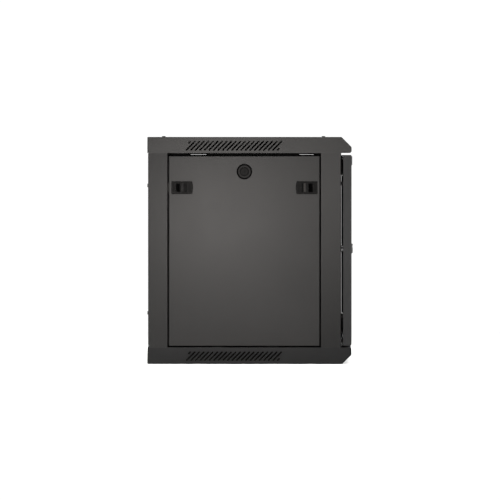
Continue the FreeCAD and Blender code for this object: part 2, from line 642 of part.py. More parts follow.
node(group(nuts), "rail_nuts")

# ---------------------------------------------------------------- earth stud

node(group([
    cyl("z", "earth_x", "earth_y", "sheet_t", "3", "20"),
    cut(cyl("z", "earth_x", "earth_y", "sheet_t", "6.2", "1.6"), [cyl("z", "earth_x", "earth_y", "0", "3", "9")]),
    cut(hexagon("z", "earth_x", "earth_y", "sheet_t+1.6", "5.77", "5"),
        [cyl("z", "earth_x", "earth_y", "0", "3", "12")]),
]), "earth_terminal")

# ---------------------------------------------------------------- side panel (left), then its mirror image

b = body("side_pan")
face = "-pan_face"
rect = [("pan_front", "pan_low"), ("pan_rear", "pan_low"), ("pan_rear", "pan_top"), ("pan_front", "pan_top")]
pad(b, sketch(b, "YZ_Plane", [rect], face), "pan_deep")
xf = num(face)
round_edges(b, edges_where(b.Shape, lambda e: along(e, "x")), "bend_out")
round_edges(b, edges_where(b.Shape, lambda e: near(e.CenterOfMass.x, xf)), "bend_out")
q = "panel_t"
rect = [("pan_front+" + q, "pan_low+" + q), ("pan_rear-" + q, "pan_low+" + q),
        ("pan_rear-" + q, "pan_top-" + q), ("pan_front+" + q, "pan_top-" + q)]
pocket(b, sketch(b, "YZ_Plane", [rect], face + "+" + q), "pan_deep", back=True)
lugs = [box("-pan_face+pan_deep-1", "-pan_face+pan_deep", "plock_y%slug_off-lug_half" % s,
            "plock_y%slug_off+lug_half" % s, "lug_low", "pan_low+1") for s in ("-", "+")]
t = [cyl("x", "-pan_face-5", "plock_y", "plock_z", "plock_barrel", "12")]
for o, s in (("latch_rear", "-"), ("latch_front", "+")):
    a, c = "%s%s3" % (o, s), "%s%s44" % (o, s)
    y0, y1 = (c, a) if s == "-" else (a, c)
    t.append(box("-pan_face-5", "-pan_face+6", y0, y1, "latch_z-11.9", "latch_z+11.9"))
t.append(box("-pan_face+1.4", "-pan_face+6.2", "pan_rear-3", "pan_rear+1", "latch_z-10.4", "latch_z+10.4"))
t.append(box("-pan_face+1.4", "-pan_face+6.2", "pan_front-1", "pan_front+3", "latch_z-10.4", "latch_z+10.4"))
LEFT = {}
LEFT["side_panel"] = cut(fuse([b] + lugs, "pan"), t, "side_panel")
LEFT["panel_rest_pads"] = group([box("-pan_face+5.1", "-pan_face+10.6", "plock_y%spad_off-pad_half" % s,
                                     "plock_y%spad_off+pad_half" % s, "open_low+0.15", "pan_low")
                                 for s in ("-", "+")])


def turned(profile, y, z):
    """A body turned about an axis along X, through the given point."""
    b = body("turned")
    sk = sketch(b, "XY_Plane", [profile])
    f = b.newObject("PartDesign::Revolution", uid("turn"))
    f.Profile = sk
    f.ReferenceAxis = (sk, ["H_Axis"])
    f.Angle = 360
    doc.recompute()
    return bind(b, {"Placement.Base.y": y, "Placement.Base.z": z})


# round lock: dark sloped rim, flat ring, sunk plug with a key slit
LEFT["panel_lock_housing"] = turned([
    ("-plock_end", "plock_bore"), ("-plock_end", "plock_barrel"), (face, "plock_barrel"), (face, "plock_rim"),
    (face + "-0.6", "plock_rim"), (face + "-1.0", "plock_rim-0.7"), (face + "-0.5", "plock_rim-1.6"),
    (face + "-0.5", "plock_rim-2.4"), (face + "-2.1", "plock_rim-2.9"), (face + "-2.4", "plock_rim-3.4"),
    (face + "-2.4", "plock_bore+0.9"), (face + "-1.9", "plock_bore+0.3"), (face + "-0.7", "plock_bore")],
    "plock_y", "plock_z")
LEFT["panel_lock_nut"] = cut(hexagon("x", face + "+panel_t", "plock_y", "plock_z", "16", "4"),
                             [cyl("x", face, "plock_y", "plock_z", "plock_barrel", "10")], "nut")
plug = turned([(face + "-1.0", "0"), (face + "-1.0", "plock_plug-0.5"), (face + "-0.5", "plock_plug"),
               ("-pcam_x1", "plock_plug"), ("-pcam_x1", "0")], "plock_y", "plock_z")
tail = box("-pcam_x1-1", "-pcam_x0+1.5", "plock_y-4", "plock_y+4", "plock_z-4", "plock_z+4")
slit = box(face + "-3", face + "+7", "plock_y-0.9", "plock_y+0.9", "plock_z-4", "plock_z+4")
LEFT["panel_lock_plug"] = cut(fuse([plug, tail]), [slit], "plug")
bar = fuse([box("-pcam_x1", "-pcam_x0", "plock_y", "plock_y+pcam_len-pcam_half", "plock_z-pcam_half", "plock_z+pcam_half"),
            cyl("x", "-pcam_x1", "plock_y", "plock_z", "pcam_half+1.5", "pcam_x1-pcam_x0"),
            cyl("x", "-pcam_x1", "plock_y+pcam_len-pcam_half", "plock_z", "pcam_half", "pcam_x1-pcam_x0")])
LEFT["panel_lock_cam"] = cut(bar, [box("-pcam_x1-1", "-pcam_x0+1", "plock_y-4", "plock_y+4",
                                       "plock_z-4", "plock_z+4")], "cam")


def latch(rear):
    """Slide latch: a bezel with a finger window, and a slider that carries grip and bolt."""
    o, s = ("latch_rear", "-") if rear else ("latch_front", "+")

    def span(a, c, x0, x1, z0, z1, name="block"):
        y0, y1 = ("%s%s(%s)" % (o, s, v) for v in ((c, a) if rear else (a, c)))
        return box(x0, x1, y0, y1, z0, z1, name)

    hz = "latch_h/2"
    b = body("bezel")
    sk = b.newObject("Sketcher::SketchObject", uid("outline"))
    sk.AttachmentSupport = [(origin_plane(b, "YZ_Plane"), "")]
    sk.MapMode = "FlatFace"
    sk.setExpression("AttachmentOffset.Base.z", ex("-pan_face-latch_proud"))
    g = -1 if rear else 1
    yo, zc, h = num(o), num("latch_z"), num(hz)
    yi, bow = yo + g * num("latch_len-latch_bow"), num("latch_bow")
    p = [Vector(yo, zc - h, 0), Vector(yi, zc - h, 0), Vector(yi, zc + h, 0), Vector(yo, zc + h, 0)]
    sk.addGeometry(Part.LineSegment(p[0], p[1]), False)
    ends = (p[2], p[1]) if rear else (p[1], p[2])
    sk.addGeometry(Part.Arc(ends[0], Vector(yi + g * bow, zc, 0), ends[1]), False)
    sk.addGeometry(Part.LineSegment(p[2], p[3]), False)
    sk.addGeometry(Part.LineSegment(p[3], p[0]), False)
    # the arc's ends in drawing order
    a_end = 2 if rear else 1
    sk.addConstraint(Sketcher.Constraint("Coincident", 0, 2, 1, a_end))
    sk.addConstraint(Sketcher.Constraint("Coincident", 1, 3 - a_end, 2, 1))
    sk.addConstraint(Sketcher.Constraint("Coincident", 2, 2, 3, 1))
    sk.addConstraint(Sketcher.Constraint("Coincident", 3, 2, 0, 1))
    for geo, pos, u, v in ((0, 1, o, "latch_z-" + hz), (0, 2, "%s%s(latch_len-latch_bow)" % (o, s), "latch_z-" + hz),
                           (2, 1, "%s%s(latch_len-latch_bow)" % (o, s), "latch_z+" + hz), (3, 1, o, "latch_z+" + hz)):
        fix_point(sk, geo, pos, u, v)
    k = sk.addConstraint(Sketcher.Constraint("Radius", 1, sk.Geometry[1].Radius))
    sk.setExpression("Constraints[%d]" % k, ex("(latch_h^2/4+latch_bow^2)/(2*latch_bow)"))
    pad(b, sk, "latch_proud")
    xo = num("-pan_face-latch_proud")
    round_edges(b, edges_where(b.Shape, lambda e: along(e, "x")), "1.2")
    round_edges(b, edges_where(b.Shape, lambda e: near(e.CenterOfMass.x, xo)), "0.6")
    rear_box = span("3", "44", "-pan_face", "-pan_face+10", "latch_z-11.8", "latch_z+11.8")
    cavity = span("2", "42", "-pan_face+1.6", "-pan_face+8.6", "latch_z-10.2", "latch_z+10.2")
    window = span("10", "34.3", "-pan_face-5", "-pan_face+2", "latch_z-10", "latch_z+10")
    # the pads beside the window are a little hollowed, as finger rests
    pad_in = span("36.2", "43.6", "-pan_face-latch_proud-1", "-pan_face-latch_proud+0.5", "latch_z-10.6", "latch_z+10.6")
    pad_out = span("2.2", "7.6", "-pan_face-latch_proud-1", "-pan_face-latch_proud+0.5", "latch_z-10.6", "latch_z+10.6")
    housing = cut(fuse([b, rear_box]), [cavity, window, pad_in, pad_out], "latch_housing")
    tip, d = ("tip_rear", "0") if rear else ("tip_front", "drawn")
    y_in = "%s%s(36+%s)" % (o, s, d)
    y0, y1 = (y_in, tip) if rear else (tip, y_in)
    bolt = box("-pan_face+1.9", "-pan_face+5.6", y0, y1, "latch_z-bolt_half", "latch_z+bolt_half", "bolt")
    grip = span("19+" + d, "28.3+" + d, "-pan_face-latch_proud+0.5", "-pan_face+2.2", "latch_z-9.5", "latch_z+9.5")
    # finger hollow beside the grip, through the slider
    hollow = span("8.5", "18+" + d, "-pan_face+1", "-pan_face+7", "latch_z-8.9", "latch_z+8.9")
    soft = doc.addObject("Part::Fillet", uid("grip_round"))
    soft.Base = grip
    doc.recompute()
    xg = num("-pan_face-latch_proud+0.5")
    soft.Edges = [(int(n[4:]), 1.2, 1.2) for n in edges_where(
        grip.Shape, lambda e: near(e.CenterOfMass.x, xg) and along(e, "z"))]
    grooves = [span("21.2+%s+%s" % (d, g2), "22.0+%s+%s" % (d, g2), "-pan_face-latch_proud", "-pan_face-latch_proud+1.1",
                    "latch_z-8.2", "latch_z+8.2") for g2 in ("0", "2", "4")]
    slider = cut(fuse([bolt, soft]), grooves + [hollow], "slider")
    return housing, slider


hr, sr = latch(True)
hf, sf = latch(False)
LEFT["latch_housings"] = group([hf, hr])
LEFT["front_latch_slider"] = sf
LEFT["rear_latch_slider"] = sr
for name, obj in LEFT.items():
    node(obj, "left_" + name)
    mirror(obj, "right_" + name)

# ---------------------------------------------------------------- door

b = body("door_pan")
rect = [("-door_half", "door_low"), ("door_half", "door_low"), ("door_half", "door_top"), ("-door_half", "door_top")]
pad(b, sketch(b, "XZ_Plane", [rect], "-door_back"), "door_back-door_face")
yf = num("door_face")
round_edges(b, edges_where(b.Shape, lambda e: near(e.CenterOfMass.y, yf)), "door_round")
q = "sheet_t"
rect = [("-door_half+" + q, "door_low+" + q), ("door_half-" + q, "door_low+" + q),
        ("door_half-" + q, "door_top-" + q), ("-door_half+" + q, "door_top-" + q)]
pocket(b, sketch(b, "XZ_Plane", [rect], "-door_back"), "door_back-door_face-sheet_t", back=True)
d2 = "door_return"
rect = [("-door_half+" + q + "/2", "door_low+" + q + "/2"), ("door_half-" + q + "/2", "door_low+" + q + "/2"),
        ("door_half-" + q + "/2", "door_top-" + q + "/2"), ("-door_half+" + q + "/2", "door_top-" + q + "/2")]
hole = [("-door_half+" + d2, "door_low+" + d2), ("door_half-" + d2, "door_low+" + d2),
        ("door_half-" + d2, "door_top-" + d2), ("-door_half+" + d2, "door_top-" + d2)]
pad(b, sketch(b, "XZ_Plane", [rect, hole], "-door_back"), "sheet_t")
rect = [("-win_half", "win_z0"), ("win_half", "win_z0"), ("win_half", "win_z1"), ("-win_half", "win_z1")]
pocket(b, sketch(b, "XZ_Plane", [rect], "-door_face+5"), "12")
wh, w0, w1 = num("win_half"), num("win_z0"), num("win_z1")
round_edges(b, edges_where(b.Shape, lambda e: along(e, "y") and near(abs(e.CenterOfMass.x), wh)
                           and (near(e.CenterOfMass.z, w0) or near(e.CenterOfMass.z, w1))), "win_round")
t = [cyl("y", "dlock_x", "door_face-5", "dlock_z", "dlock_barrel", "12")]
for z0, z1, under in (("hinge_a0", "hinge_a1", "-1"), ("hinge_b0", "hinge_b1", "-hinge_foot-1")):
    t.append(box("hinge_x-knuckle_r-1.1", "door_half+5", "hinge_y-knuckle_r-0.4", "door_back+5", z0 + under, z1 + "+1"))
    t.append(cyl("y", "door_half-door_return+4", "door_back-5", "%s+(%s-%s)*0.75" % (z0, z1, z0), "1.6", "10"))
node(cut(b, t, "door_frame"), "door_frame")

gy1 = "door_face+sheet_t"
gy2 = "door_face+sheet_t+gasket_t"
gy3 = "door_face+sheet_t+gasket_t+glass_t"
node(box("-win_half-glass_lap", "win_half+glass_lap", gy2, gy3, "win_z0-glass_lap", "win_z1+glass_lap", "glass"),
     "door_glass")
node(cut(box("-win_half-glass_lap", "win_half+glass_lap", gy1, gy2, "win_z0-glass_lap", "win_z1+glass_lap"),
         [box("-win_half+2", "win_half-2", gy1 + "-1", gy2 + "+1", "win_z0+2", "win_z1-2")], "gasket"), "glass_gasket")
clips, screws = [], []
ge = "(win_half+glass_lap)"
for sx in ("-", ""):
    for z in ("win_z0+80", "win_z1-80"):
        # clip at a vertical glass edge: foot beside the glass, finger over it
        if sx == "":
            foot = box(ge + "+0.3", ge + "+15", gy1, gy3 + "+1.5", z + "-9", z + "+9")
            arm = box(ge + "-8", ge + "+15", gy3, gy3 + "+1.5", z + "-9", z + "+9")
            sxp = ge + "+8"
        else:
            foot = box("-%s-15" % ge, "-%s-0.3" % ge, gy1, gy3 + "+1.5", z + "-9", z + "+9")
            arm = box("-%s-15" % ge, "-%s+8" % ge, gy3, gy3 + "+1.5", z + "-9", z + "+9")
            sxp = "-%s-8" % ge
        clips.append(cut(fuse([foot, arm]), [cyl("y", sxp, "door_face", z, "1.6", "20")], "clip"))
        screws.append(screw("y", sxp, gy3 + "+1.5", z, "3.2", "1.8", "1.6", "5.5", False))
for z, s in (("win_z1+glass_lap", "+"), ("win_z0-glass_lap", "-")):
    for x in ("-150", "150"):
        lo, hi = ("%s+0.3" % z, "%s+15" % z) if s == "+" else ("%s-15" % z, "%s-0.3" % z)
        foot = box(x + "-9", x + "+9", gy1, gy3 + "+1.5", lo, hi)
        lo, hi = ("%s-8" % z, "%s+15" % z) if s == "+" else ("%s-15" % z, "%s+8" % z)
        arm = box(x + "-9", x + "+9", gy3, gy3 + "+1.5", lo, hi)
        zc = "%s%s8" % (z, s)
        clips.append(cut(fuse([foot, arm]), [cyl("y", x, "door_face", zc, "1.6", "20")], "clip"))
        screws.append(screw("y", x, gy3 + "+1.5", zc, "3.2", "1.8", "1.6", "5.5", False))
node(group(clips), "glass_clips")

# door lock: head and barrel, plug, cam, nut
head = cone("y", "dlock_x", "door_face-dlock_proud", "dlock_z", "dlock_head-2.2", "dlock_head", "2", "lock_head")
rim = cyl("y", "dlock_x", "door_face-dlock_proud+2", "dlock_z", "dlock_head", "dlock_proud-2")
barrel = cyl("y", "dlock_x", "door_face-1", "dlock_z", "dlock_barrel", "dlock_end-door_face+1")
node(cut(fuse([head, rim, barrel]), [cyl("y", "dlock_x", "door_face-20", "dlock_z", "dlock_bore", "80")], "lock"),
     "door_lock_housing")
node(cut(hexagon("y", "dlock_x", "door_face+sheet_t", "dlock_z", "12.5", "4"),
         [cyl("y", "dlock_x", "door_face", "dlock_z", "dlock_barrel", "10")], "nut"), "door_lock_nut")
plug = cyl("y", "dlock_x", "door_face-dlock_proud+0.4", "dlock_z", "dlock_plug", "dlock_end-door_face+dlock_proud+0.4")
tail = box("dlock_x-3", "dlock_x+3", "dlock_end", "dlock_end+6.2", "dlock_z-3", "dlock_z+3")
slit = box("dlock_x-0.8", "dlock_x+0.8", "door_face-20", "door_face+3", "dlock_z-3.4", "dlock_z+3.4")
node(cut(fuse([plug, tail]), [slit], "plug"), "door_lock_plug")
c0, c1 = "dlock_end+3", "dlock_end+5"
bar = fuse([box("dlock_x-5", "dlock_x+5", c0, c1, "dlock_z-dcam_len+5", "dlock_z"),
            cyl("y", "dlock_x", c0, "dlock_z", "6.5", "2"),
            cyl("y", "dlock_x", c0, "dlock_z-dcam_len+5", "5", "2")])
node(cut(bar, [box("dlock_x-3", "dlock_x+3", c0 + "-1", c1 + "+1", "dlock_z-3", "dlock_z+3")], "cam"), "door_lock_cam")

node(group([cyl("y", "bump_x", "door_back", z, "bump_r", "post_front-door_back-0.05") for z in ("bump_hi", "bump_lo")]),
     "door_bumpers")
plate = box("badge_x0", "badge_x1", "door_face-badge_t", "door_face", "badge_z0", "badge_z1", "badge")
soft = doc.addObject("Part::Fillet", uid("badge_round"))
soft.Base = plate
doc.recompute()
yb = num("door_face-badge_t")
soft.Edges = [(int(n[4:]), 0.8, 0.8) for n in edges_where(plate.Shape, lambda e: near(e.CenterOfMass.y, yb))]
node(soft, "blank_badge")

# ---------------------------------------------------------------- hinges in the gap at the right edge

pins, post_screws = [], []
for name, z0, z1, foot in (("upper", "hinge_a0", "hinge_a1", "hinge_a0"), ("lower", "hinge_b0", "hinge_b1", "hinge_b0-hinge_foot")):
    mid = "(%s+%s)/2" % (z0, z1)
    # each leaf runs the full height, with its knuckle on one half; the lower post leaf stands a little below the door
    leaf = fuse([box("leaf_x", "hinge_x-knuckle_r-0.6", "post_front-leaf_t", "post_front", foot, z1),
                 box("leaf_x+1", "hinge_x", "post_front-leaf_t", "post_front", foot, mid + "-0.3")])
    knuckle = cyl("z", "hinge_x", "hinge_y", foot, "knuckle_r", "%s-0.3-(%s)" % (mid, foot))
    t = [cyl("z", "hinge_x", "hinge_y", foot + "-1", "pin_r", "80")]
    zs = "%s+(%s-%s)*0.25" % (z0, z1, z0)
    t.append(cyl("y", "leaf_x+6", "post_front-5", zs, "1.6", "10"))
    node(cut(fuse([leaf, knuckle]), t, "post_leaf"), name + "_hinge_post_leaf")
    post_screws.append(screw("-y", "leaf_x+6", "post_front-leaf_t", zs, "2.9", "1.4", "1.6", "5", False))
    leaf = fuse([box("leaf_x", "hinge_x-knuckle_r-0.6", "door_back-sheet_t-leaf_t", "door_back-sheet_t", z0, z1),
                 box("leaf_x+1", "hinge_x", "door_back-sheet_t-leaf_t", "door_back-sheet_t", mid + "+0.3", z1),
                 box("hinge_x-knuckle_r", "hinge_x", "door_back-sheet_t-leaf_t", "hinge_y", mid + "+0.3", z1)])
    knuckle = cyl("z", "hinge_x", "hinge_y", mid + "+0.3", "knuckle_r", z1 + "-0.3-" + mid)
    t = [cyl("z", "hinge_x", "hinge_y", z0 + "-1", "pin_bore", "80")]
    zs = "%s+(%s-%s)*0.75" % (z0, z1, z0)
    t.append(cyl("y", "door_half-door_return+4", "door_back-9", zs, "1.6", "12"))
    node(cut(fuse([leaf, knuckle]), t, "door_leaf"), name + "_hinge_door_leaf")
    screws.append(screw("y", "door_half-door_return+4", "door_back", zs, "2.9", "1.4", "1.6", "4.5", False))
    pins.append(cyl("z", "hinge_x", "hinge_y", foot, "pin_r", "%s-(%s)" % (z1, foot), "pin"))
node(group(pins), "hinge_pins")
node(group(post_screws), "hinge_post_screws")
node(group(screws), "door_screws")

# ---------------------------------------------------------------- test and write

doc.recompute()
bad = [o.Name for o in doc.Objects if "Invalid" in o.State or "Error" in o.State]
if bad:
    raise RuntimeError("objects that failed: " + ", ".join(bad))
for label, obj in NODES.items():
    if obj.Shape.isNull() or not obj.Shape.isValid() or not obj.Shape.Solids:
        raise RuntimeError("no sound shape: " + label)
os.makedirs("parts", exist_ok=True)
for label, obj in NODES.items():
    obj.Shape.exportStep("parts/%s.step" % label)
print(len(NODES), "nodes,", sum(len(o.Shape.Solids) for o in NODES.values()), "solids")
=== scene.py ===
import math

import bpy
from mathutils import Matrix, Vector

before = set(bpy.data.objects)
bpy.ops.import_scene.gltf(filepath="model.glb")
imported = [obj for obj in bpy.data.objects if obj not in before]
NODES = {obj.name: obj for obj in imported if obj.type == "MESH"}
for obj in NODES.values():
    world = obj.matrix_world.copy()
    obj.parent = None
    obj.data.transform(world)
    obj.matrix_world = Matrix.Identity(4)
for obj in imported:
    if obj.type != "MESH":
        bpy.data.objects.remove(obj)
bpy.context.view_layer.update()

scene = bpy.context.scene

# ------------------------------------------------------------------ small node helpers


class Tree:
    """A material's node tree, with short calls for the nodes used here."""

    def __init__(self, name):
        self.mat = bpy.data.materials.new(name)
        self.mat.use_nodes = True
        self.t = self.mat.node_tree
        self.t.nodes.clear()
        self.out = self.t.nodes.new("ShaderNodeOutputMaterial")
        self.bsdf = self.t.nodes.new("ShaderNodeBsdfPrincipled")
        self.t.links.new(self.bsdf.outputs[0], self.out.inputs["Surface"])
        self.co = self.t.nodes.new("ShaderNodeTexCoord").outputs["Object"]

    def new(self, kind, **values):
        n = self.t.nodes.new(kind)
        for k, v in values.items():
            setattr(n, k, v)
        return n

    def link(self, a, b):
        self.t.links.new(a, b)

    def noise(self, scale, detail=2.0, rough=0.5, co=None, seed=0.0):
        n = self.new("ShaderNodeTexNoise", noise_dimensions="4D")
        self.link(co or self.co, n.inputs["Vector"])
        n.inputs["Scale"].default_value = scale
        n.inputs["Detail"].default_value = detail
        n.inputs["Roughness"].default_value = rough
        n.inputs["W"].default_value = seed
        return n.outputs["Fac"]

    def stretched(self, sx, sy, sz):
        m = self.new("ShaderNodeMapping")
        self.link(self.co, m.inputs["Vector"])
        m.inputs["Scale"].default_value = (sx, sy, sz)
        return m.outputs["Vector"]

    def cells(self, scale, out="Distance", seed=0.0):
        n = self.new("ShaderNodeTexVoronoi", voronoi_dimensions="4D")
        self.link(self.co, n.inputs["Vector"])
        n.inputs["Scale"].default_value = scale
        n.inputs["W"].default_value = seed
        return n.outputs[out]

    def span(self, value, lo, hi, to_lo, to_hi, smooth=False):
        n = self.new("ShaderNodeMapRange")
        n.interpolation_type = "SMOOTHSTEP" if smooth else "LINEAR"
        self.link(value, n.inputs["Value"])
        for k, v in (("From Min", lo), ("From Max", hi), ("To Min", to_lo), ("To Max", to_hi)):
            n.inputs[k].default_value = v
        return n.outputs["Result"]

    def math(self, op, a, b=None):
        n = self.new("ShaderNodeMath", operation=op)
        for i, v in enumerate((a, b)):
            if v is None:
                continue
            if isinstance(v, (int, float)):
                n.inputs[i].default_value = v
            else:
                self.link(v, n.inputs[i])
        return n.outputs[0]

    def mix(self, fac, a, b):
        n = self.new("ShaderNodeMix", data_type="RGBA")
        self.link(fac, n.inputs["Factor"])
        for sock, v in ((n.inputs[6], a), (n.inputs[7], b)):
            if isinstance(v, tuple):
                sock.default_value = (v[0], v[1], v[2], 1.0)
            else:
                self.link(v, sock)
        return n.outputs[2]

    def edge(self, radius, lo=0.80, hi=0.985):
        """1 along an edge, 0 on a flat: how far a rounded normal leans from the true one."""
        b = self.new("ShaderNodeBevel", samples=4)
        b.inputs["Radius"].default_value = radius
        g = self.new("ShaderNodeNewGeometry")
        d = self.new("ShaderNodeVectorMath", operation="DOT_PRODUCT")
        self.link(b.outputs[0], d.inputs[0])
        self.link(g.outputs["Normal"], d.inputs[1])
        return self.span(d.outputs["Value"], lo, hi, 1.0, 0.0)

    def crevice(self, reach, lo=0.22, hi=0.72):
        """1 down in a narrow gap, 0 on an open face."""
        a = self.new("ShaderNodeAmbientOcclusion", samples=6)
        a.inputs["Distance"].default_value = reach
        return self.span(a.outputs["AO"], lo, hi, 1.0, 0.0)

    def bump(self, *layers):
        """Layers of (height, distance in metres, strength), one on another."""
        normal = None
        for height, distance, strength in layers:
            n = self.new("ShaderNodeBump")
            n.inputs["Strength"].default_value = strength
            n.inputs["Distance"].default_value = distance
            self.link(height, n.inputs["Height"])
            if normal is not None:
                self.link(normal, n.inputs["Normal"])
            normal = n.outputs[0]
        self.link(normal, self.bsdf.inputs["Normal"])

    def set(self, **values):
        for k, v in values.items():
            s = self.bsdf.inputs[k.replace("_", " ")]
            if isinstance(v, (int, float)):
                s.default_value = v
            elif isinstance(v, tuple):
                s.default_value = (v[0], v[1], v[2], 1.0)
            else:
                self.link(v, s)


def times(c, k):
    return tuple(x * k for x in c)


# ------------------------------------------------------------------ materials


def powder(name, base, rough=0.52, spec=0.15, seed=0.0, shaded=None, foot=None, reach=0.016):
    """Fine textured powder coat on sheet steel: orange peel, faint cloudiness, rubbed edges that are also a painted
    highlight.

    `shaded` gives, from X, Y and Z, where painted shade makes the coat dull and black, down in the joints between the
    sheets;
    `foot` is how much of the colour is left at the lower end: painted shade, darker towards the bottom where the
    light falls off.
    """
    m = Tree(name)
    cloud = m.noise(9.0, 3.0, 0.55, seed=seed)
    grain = m.noise(620.0, 2.0, 0.6, seed=seed + 3.1)
    fine = m.noise(1900.0, 1.0, 0.5, seed=seed + 7.7)
    c = m.mix(m.span(cloud, 0.3, 0.7, 0.0, 1.0), times(base, 0.90), times(base, 1.10))
    c = m.mix(m.span(grain, 0.35, 0.75, 0.0, 0.35), c, times(base, 1.45))
    # rubbed edges, painted lighter: wear and a painted highlight along the edges
    worn = m.math("MULTIPLY", m.edge(0.0010), m.span(m.noise(45.0, 3.0, 0.6, seed=seed + 1.3), 0.45, 0.7, 0.0, 0.55))
    c = m.mix(worn, c, tuple(0.10 + 2.2 * x for x in base))
    # painted shade: black and dull down in the gaps, where shadow falls
    painted_shade = m.crevice(reach)
    if shaded:
        sep = m.new("ShaderNodeSeparateXYZ")
        m.link(m.co, sep.inputs[0])
        painted_shade = m.math("MAXIMUM", painted_shade, shaded(m, m.math("ABSOLUTE", sep.outputs["X"]), sep.outputs["Y"], sep.outputs["Z"]))
        # painted shade: the colour darkens towards the bottom, where the light falls off
        if foot:
            c = m.mix(m.span(sep.outputs["Z"], 0.06, 0.44, 1.0, 0.0), c, times(base, foot))
    c = m.mix(painted_shade, c, times(base, 0.06))
    m.set(Base_Color=c, Specular_IOR_Level=spec, IOR=1.5)
    r = m.math("ADD", m.span(grain, 0.25, 0.75, rough - 0.06, rough + 0.07), m.math("MULTIPLY", painted_shade, 0.40))
    m.set(Roughness=m.math("ADD", r, m.span(cloud, 0.3, 0.7, -0.03, 0.03)))
    m.bump((grain, 0.00018, 0.30), (fine, 0.00006, 0.25))
    return m.mat


def zinc(name, base, rough=0.34, seed=0.0, long_axis=None):
    """Bright zinc plate: faint crystals, rolling marks and dulled patches."""
    m = Tree(name)
    crystal = m.cells(210.0, "Color", seed)
    sep = m.new("ShaderNodeSeparateColor")
    m.link(crystal, sep.inputs[0])
    patch = m.noise(16.0, 4.0, 0.6, seed=seed)
    vec = m.stretched(*(long_axis or (900.0, 900.0, 26.0)))
    marks = m.noise(1.0, 2.0, 0.6, co=vec, seed=seed + 2.0)
    c = m.mix(m.span(sep.outputs[0], 0.0, 1.0, 0.0, 1.0), times(base, 0.90), times(base, 1.04))
    c = m.mix(m.span(patch, 0.42, 0.72, 0.0, 0.55), c, (base[0] * 0.84, base[1] * 0.83, base[2] * 0.79))
    m.set(Base_Color=c, Metallic=1.0)
    r = m.math("ADD", m.span(sep.outputs[1], 0.0, 1.0, rough - 0.05, rough + 0.05),
               m.span(patch, 0.35, 0.75, -0.03, 0.12))
    m.set(Roughness=m.math("ADD", r, m.span(marks, 0.3, 0.7, -0.04, 0.05)))
    m.bump((marks, 0.00003, 0.35), (patch, 0.00025, 0.10))
    return m.mat


def plastic(name, base, rough=0.42, spec=0.5, seed=0.0, grain_scale=1150.0, inside=None, ridge=None):
    """Moulded plastic with a fine eroded grain and shiny rubbed edges painted lighter as a highlight, in painted
    shade, matt black, further in than `inside`;
    the grip ridge at the depth `ridge` has a pale painted highlight."""
    m = Tree(name)
    grain = m.noise(grain_scale, 2.0, 0.55, seed=seed)
    cloud = m.noise(38.0, 3.0, 0.5, seed=seed + 5.0)
    c = m.mix(m.span(cloud, 0.3, 0.7, 0.0, 1.0), times(base, 0.85), times(base, 1.15))
    edge = m.edge(0.0009)
    # rubbed edges, painted lighter as a highlight
    c = m.mix(m.math("MULTIPLY", edge, 0.35), c, tuple(0.03 + 1.7 * x for x in base))
    r = m.math("ADD", m.span(grain, 0.3, 0.7, rough - 0.05, rough + 0.07), m.math("MULTIPLY", edge, -0.10))
    if inside:
        sep = m.new("ShaderNodeSeparateXYZ")
        m.link(m.co, sep.inputs[0])
        x = m.math("ABSOLUTE", sep.outputs["X"])
        # painted shade: darker, then black, further in than `inside`, down in the recesses
        painted_shade = m.span(x, inside - 0.0017, inside - 0.0011, 1.0, 0.0)
        c = m.mix(m.span(x, inside - 0.0006, inside, 1.0, 0.0), c, times(base, 0.5))
        c = m.mix(painted_shade, c, times(base, 0.05))
        # the bolt of the rear slider, bare where it leaves the panel
        bolt = m.span(sep.outputs["Y"], 0.1735, 0.1745, 0.0, 1.0)
        c = m.mix(bolt, c, times(base, 5.0))
        r = m.math("ADD", r, m.math("MULTIPLY", m.math("MULTIPLY", painted_shade, m.math("SUBTRACT", 1.0, bolt)), 0.35))
        if ridge:
            # painted highlight, only between the rims, on the grip itself
            off = m.math("ABSOLUTE", m.math("SUBTRACT", sep.outputs["Y"], ridge))
            high = m.math("ABSOLUTE", m.math("SUBTRACT", sep.outputs["Z"], 0.3882))
            grip_highlight = m.math("MULTIPLY", m.span(off, 0.0014, 0.0026, 1.0, 0.0), m.span(high, 0.0095, 0.0100, 1.0, 0.0))
            c = m.mix(grip_highlight, c, times(base, 10.0))
    m.set(Base_Color=c, Specular_IOR_Level=spec)
    m.set(Roughness=m.math("ADD", r, m.span(cloud, 0.3, 0.7, -0.03, 0.03)))
    m.bump((grain, 0.00010, 0.30))
    return m.mat


def rubber(name, base, seed=0.0):
    m = Tree(name)
    grain = m.noise(820.0, 3.0, 0.6, seed=seed)
    bloom = m.noise(55.0, 4.0, 0.6, seed=seed + 2.0)
    c = m.mix(m.span(bloom, 0.45, 0.75, 0.0, 0.6), base, tuple(0.004 + 1.5 * x for x in base))
    m.set(Base_Color=c, Roughness=m.span(grain, 0.3, 0.7, 0.68, 0.86), Specular_IOR_Level=0.12)
    m.bump((grain, 0.00012, 0.35))
    return m.mat


